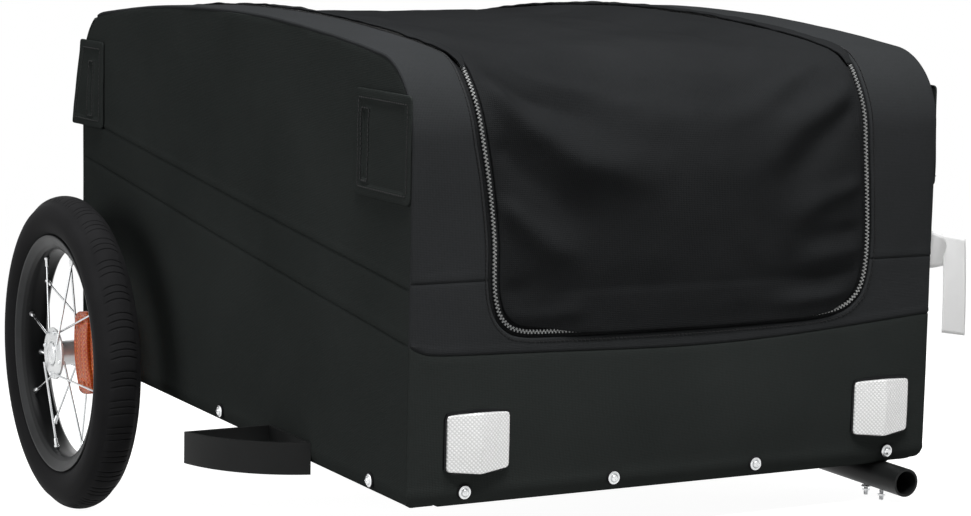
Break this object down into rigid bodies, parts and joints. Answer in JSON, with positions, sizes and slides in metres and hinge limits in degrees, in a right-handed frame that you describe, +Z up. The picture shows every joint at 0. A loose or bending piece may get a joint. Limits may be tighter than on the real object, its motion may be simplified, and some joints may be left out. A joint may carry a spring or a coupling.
{
  "type": "bicycle cargo trailer",
  "caption": "Towed two-wheel cargo box of black fabric over a tube frame, with an open tow tube under its left side and a zip-round cover that folds back.",
  "frame": {"origin": "centre of the parked trailer's bounding box, on the floor", "axes": "+X forward, the way it is towed; +Y to the trailer's left; +Z up. It is parked nose down, turned 8.57 degrees about the axle from level"},
  "size_m": [0.8082, 0.6496, 0.4764],
  "materials": {
    "cloth": "matte coated polyester",
    "cover_cloth": "soft matte polyester",
    "zip": "moulded teeth on black tape",
    "frame_paint": "black powder coat",
    "board": "matte black",
    "bright_steel": "zinc plated",
    "tyre": "matte rubber",
    "rim": "satin black",
    "hub": "satin",
    "amber": "clear amber",
    "white_lens": "clear prismatic",
    "red_lens": "clear prismatic",
    "tag_cloth": "smooth white ribbon"
  },
  "bodies": {
    "chassis": {"axle_bracket_left": "frame_paint", "axle_bracket_right": "frame_paint", "axle_pin_left": "bright_steel", "axle_pin_right": "bright_steel", "base_cross_axle": "frame_paint", "base_cross_front": "frame_paint", "base_cross_middle": "frame_paint", "base_cross_rear": "frame_paint", "base_rail_left": "frame_paint", "base_rail_right": "frame_paint", "blank_tag": "tag_cloth", "crossbar_front": "frame_paint", "crossbar_rear": "frame_paint", "floor_board": "board", "front_reflector_left": "white_lens", "front_reflector_right": "white_lens", "front_tab_left": "cloth", "front_tab_right": "cloth", "front_wall": "cloth", "hoop_left": "frame_paint", "hoop_right": "frame_paint", "rear_reflector_left": "red_lens", "rear_reflector_right": "red_lens", "rear_tab_left": "cloth", "rear_tab_right": "cloth", "rear_wall": "cloth", "side_wall_left": "cloth", "side_wall_right": "cloth", "top_band_left": "cloth", "top_band_right": "cloth", "tow_saddle": "frame_paint", "tow_screw_front": "bright_steel", "tow_screw_rear": "bright_steel", "tow_tube": "frame_paint", "wheel_guard_left": "frame_paint", "wheel_guard_right": "frame_paint", "zip_wall_side": "zip"},
    "wheel_right": {"tyre_right": "tyre", "rim_right": "rim", "hub_right": "hub", "spokes_right": "bright_steel", "spoke_reflector_right": "amber"},
    "wheel_left": {"tyre_left": "tyre", "rim_left": "rim", "hub_left": "hub", "spokes_left": "bright_steel", "spoke_reflector_left": "amber"},
    "cover": {"cover": "cover_cloth", "zip_cover_side": "zip"}
  },
  "joints": [
    {"name": "wheel_right_spin", "type": "hinge", "parent": "chassis", "child": "wheel_right", "pos_m": [-0.25414, -0.2958, 0.15], "axis": [0, 1, 0], "continuous": true},
    {"name": "wheel_left_spin", "type": "hinge", "parent": "chassis", "child": "wheel_left", "pos_m": [-0.25414, 0.2958, 0.15], "axis": [0, 1, 0], "continuous": true},
    {"name": "cover_fold", "type": "hinge", "parent": "chassis", "child": "cover", "pos_m": [-0.2676, 0, 0.4767], "axis": [0, -1, 0], "range_deg": [0, 105]}
  ]
}
